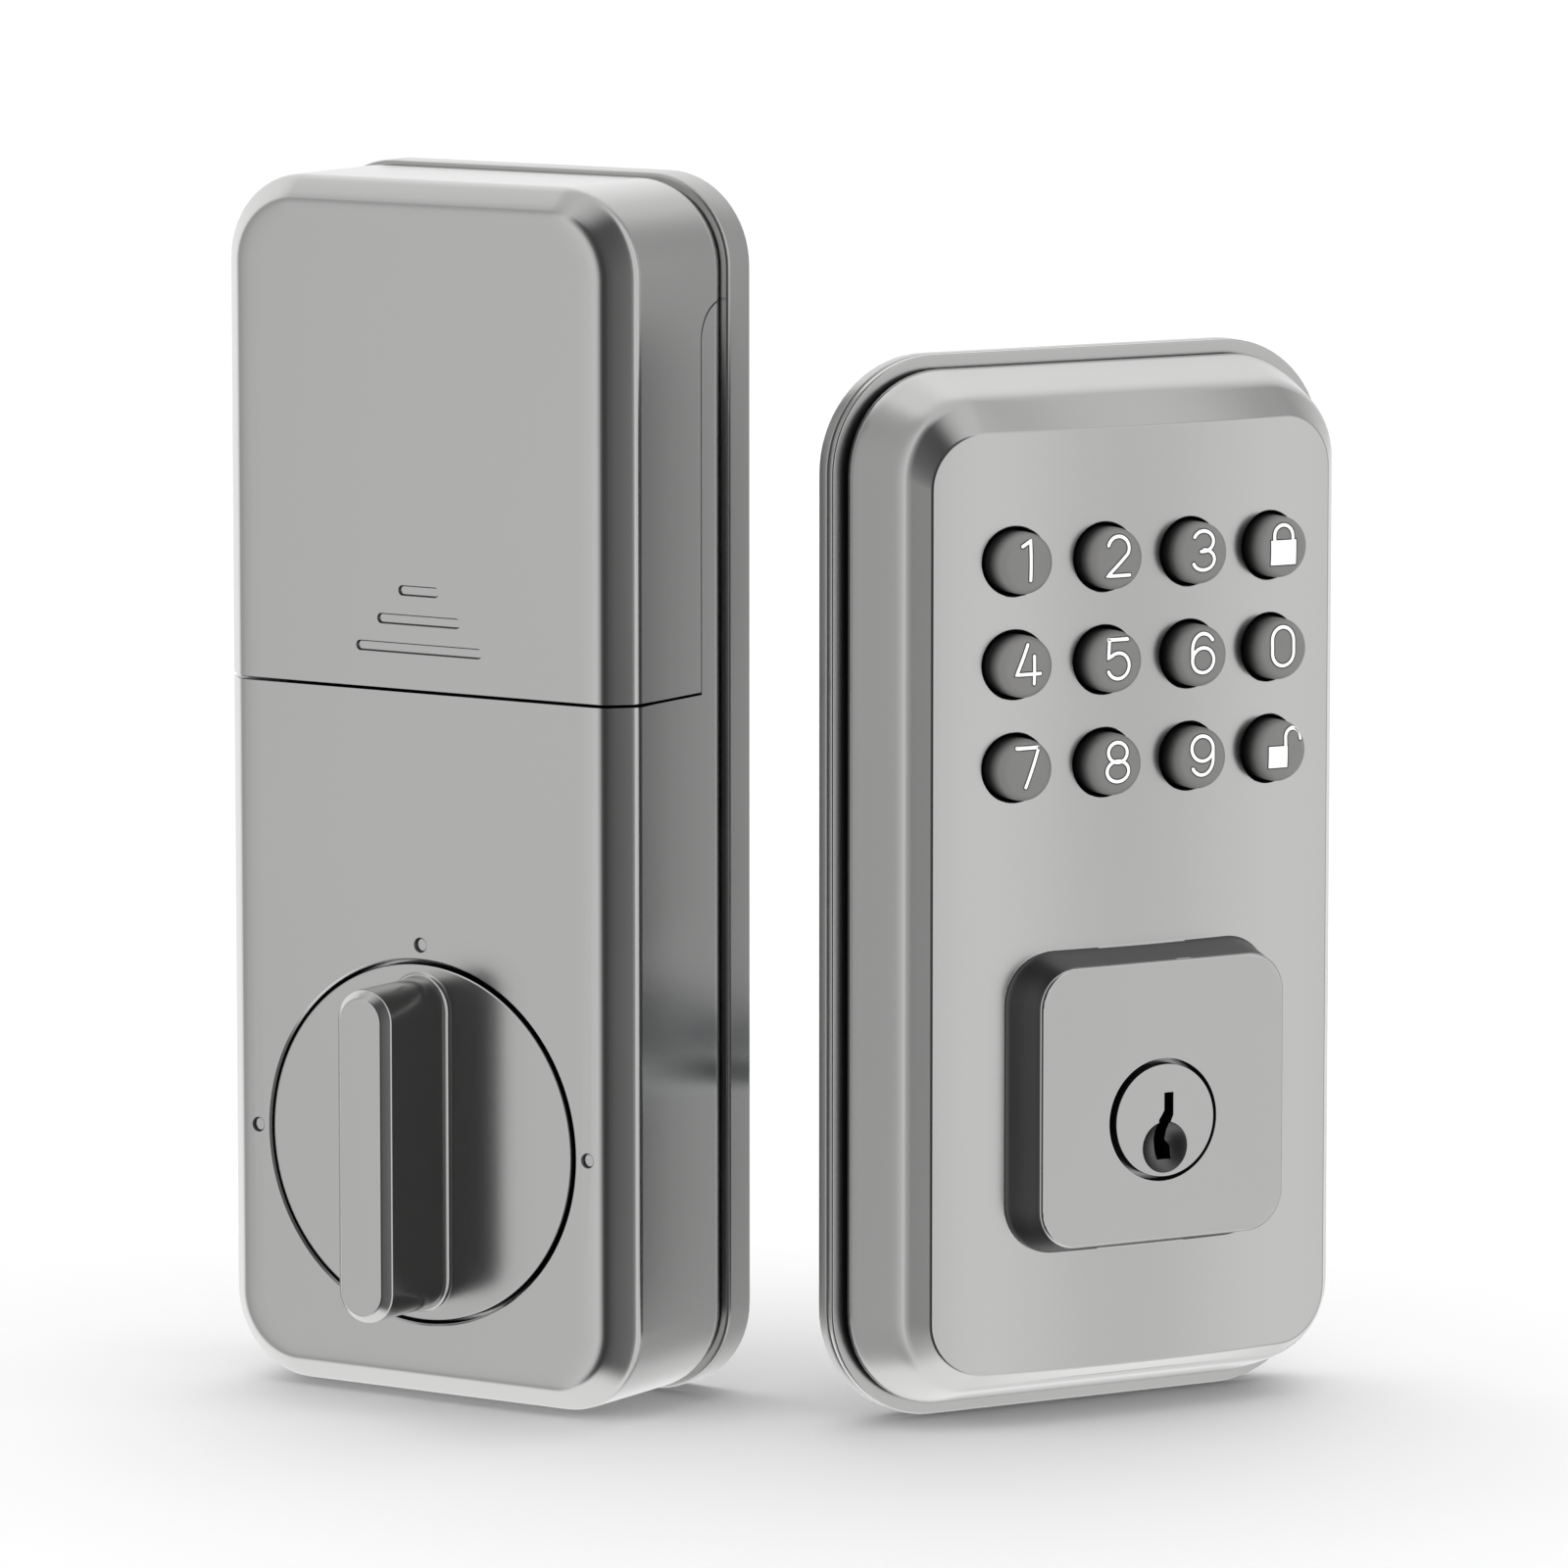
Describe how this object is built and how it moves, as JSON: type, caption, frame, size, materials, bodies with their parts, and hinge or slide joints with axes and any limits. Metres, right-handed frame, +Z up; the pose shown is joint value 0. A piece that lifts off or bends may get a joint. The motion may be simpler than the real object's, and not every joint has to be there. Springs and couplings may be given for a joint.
{
  "type": "keypad smart lock",
  "caption": "Door lock set: an indoor unit with a thumb turn, gear drive and battery bay, and an outdoor unit with push keys and a key cylinder.",
  "frame": {"origin": "on the standing surface, below the middle of the bounding box of both units together", "axes": "+Z up, -Y towards the viewer between the two toed-apart units, +X to the viewer's right, indoor unit on -X and outdoor unit on +X"},
  "size_m": [0.1352, 0.0638, 0.151],
  "materials": {
    "satin_nickel": "satin nickel plate, fine grain",
    "plate_zinc": "satin nickel plate over die-cast zinc",
    "steel": "plain bright steel",
    "brass": "machined",
    "key_grey": "soft-touch grey",
    "black_plastic": "moulded, fine texture",
    "white_plastic": "moulded acetal",
    "silicone": "matt",
    "foam": "closed-cell foam",
    "circuit_board": "solder mask over glass fibre",
    "battery_jacket": "printed shrink sleeve"
  },
  "bodies": {
    "lock": {"indoor_housing": "satin_nickel", "indoor_back_plate": "plate_zinc", "motor": "steel", "gear_axle_1": "steel", "gear_axle_2": "steel", "gear_plate": "black_plastic", "gear_plate_screw_1": "steel", "gear_plate_screw_2": "steel", "battery_tray": "black_plastic", "battery_1": "battery_jacket", "battery_2": "battery_jacket", "battery_3": "battery_jacket", "battery_4": "battery_jacket", "contact_positive": "steel", "contact_link_upper": "steel", "contact_link_middle": "steel", "contact_link_lower": "steel", "contact_negative": "steel", "housing_screw_1": "steel", "housing_screw_2": "steel", "indoor_circuit_board": "circuit_board", "indoor_cable_socket": "white_plastic", "outdoor_housing": "satin_nickel", "keypad_membrane": "silicone", "keypad_circuit_board": "circuit_board", "outdoor_cable_socket": "white_plastic", "cylinder_body": "steel", "outdoor_trim_plate": "satin_nickel", "outdoor_base_plate": "plate_zinc", "outdoor_gasket": "foam", "threaded_post_left": "steel", "threaded_post_right": "steel", "flange_screw_1": "steel", "flange_screw_2": "steel", "flange_screw_3": "steel", "flange_screw_4": "steel"},
    "thumb_turn": {"thumb_turn": "satin_nickel", "drive_gear": "steel", "retaining_clip": "steel"},
    "gear_2": {"reduction_gear_2": "white_plastic"},
    "gear_1": {"reduction_gear_1": "white_plastic"},
    "pinion": {"motor_pinion": "brass"},
    "cover": {"battery_cover": "satin_nickel"},
    "plug": {"key_plug": "satin_nickel", "tailpiece": "steel", "tailpiece_cap": "steel"},
    "key_1": {"key_1": "key_grey"},
    "key_2": {"key_2": "key_grey"},
    "key_3": {"key_3": "key_grey"},
    "key_lock": {"key_lock": "key_grey"},
    "key_4": {"key_4": "key_grey"},
    "key_5": {"key_5": "key_grey"},
    "key_6": {"key_6": "key_grey"},
    "key_0": {"key_0": "key_grey"},
    "key_7": {"key_7": "key_grey"},
    "key_8": {"key_8": "key_grey"},
    "key_9": {"key_9": "key_grey"},
    "key_unlock": {"key_unlock": "key_grey"}
  },
  "joints": [
    {"name": "thumb_turn_pivot", "type": "hinge", "parent": "lock", "child": "thumb_turn", "pos_m": [-0.04397, -0.00855, 0.0324], "axis": [-0.5367, -0.8438, 0], "range_deg": [-90, 90]},
    {"name": "gear_2_spin", "type": "hinge", "parent": "lock", "child": "gear_2", "pos_m": [-0.03968, -0.0018, 0.0516], "axis": [-0.5367, -0.8438, 0], "range_deg": [-270, 270]},
    {"name": "gear_1_spin", "type": "hinge", "parent": "lock", "child": "gear_1", "pos_m": [-0.04075, -0.00349, 0.066], "axis": [-0.5367, -0.8438, 0], "range_deg": [-810, 810]},
    {"name": "pinion_spin", "type": "hinge", "parent": "lock", "child": "pinion", "pos_m": [-0.02981, -0.01045, 0.07072], "axis": [-0.5367, -0.8438, 0], "range_deg": [-2916, 2916]},
    {"name": "cover_slide", "type": "slide", "parent": "lock", "child": "cover", "axis": [0, 0, 1], "range_m": [0, 0.075]},
    {"name": "key_plug_turn", "type": "hinge", "parent": "lock", "child": "plug", "pos_m": [0.04401, -0.01919, 0.03785], "axis": [0.4874, -0.8732, 0], "range_deg": [-90, 90]},
    {"name": "key_1_press", "type": "slide", "parent": "lock", "child": "key_1", "axis": [-0.4874, 0.8732, 0], "range_m": [0, 0.0012], "stiffness_N_per_m": 900},
    {"name": "key_2_press", "type": "slide", "parent": "lock", "child": "key_2", "axis": [-0.4874, 0.8732, 0], "range_m": [0, 0.0012], "stiffness_N_per_m": 900},
    {"name": "key_3_press", "type": "slide", "parent": "lock", "child": "key_3", "axis": [-0.4874, 0.8732, 0], "range_m": [0, 0.0012], "stiffness_N_per_m": 900},
    {"name": "key_lock_press", "type": "slide", "parent": "lock", "child": "key_lock", "axis": [-0.4874, 0.8732, 0], "range_m": [0, 0.0012], "stiffness_N_per_m": 900},
    {"name": "key_4_press", "type": "slide", "parent": "lock", "child": "key_4", "axis": [-0.4874, 0.8732, 0], "range_m": [0, 0.0012], "stiffness_N_per_m": 900},
    {"name": "key_5_press", "type": "slide", "parent": "lock", "child": "key_5", "axis": [-0.4874, 0.8732, 0], "range_m": [0, 0.0012], "stiffness_N_per_m": 900},
    {"name": "key_6_press", "type": "slide", "parent": "lock", "child": "key_6", "axis": [-0.4874, 0.8732, 0], "range_m": [0, 0.0012], "stiffness_N_per_m": 900},
    {"name": "key_0_press", "type": "slide", "parent": "lock", "child": "key_0", "axis": [-0.4874, 0.8732, 0], "range_m": [0, 0.0012], "stiffness_N_per_m": 900},
    {"name": "key_7_press", "type": "slide", "parent": "lock", "child": "key_7", "axis": [-0.4874, 0.8732, 0], "range_m": [0, 0.0012], "stiffness_N_per_m": 900},
    {"name": "key_8_press", "type": "slide", "parent": "lock", "child": "key_8", "axis": [-0.4874, 0.8732, 0], "range_m": [0, 0.0012], "stiffness_N_per_m": 900},
    {"name": "key_9_press", "type": "slide", "parent": "lock", "child": "key_9", "axis": [-0.4874, 0.8732, 0], "range_m": [0, 0.0012], "stiffness_N_per_m": 900},
    {"name": "key_unlock_press", "type": "slide", "parent": "lock", "child": "key_unlock", "axis": [-0.4874, 0.8732, 0], "range_m": [0, 0.0012], "stiffness_N_per_m": 900}
  ],
  "couplings": [
    {"joint": "gear_2_spin", "follows": "thumb_turn_pivot", "ratio": -3},
    {"joint": "gear_1_spin", "follows": "thumb_turn_pivot", "ratio": 9},
    {"joint": "pinion_spin", "follows": "thumb_turn_pivot", "ratio": -32.4}
  ]
}
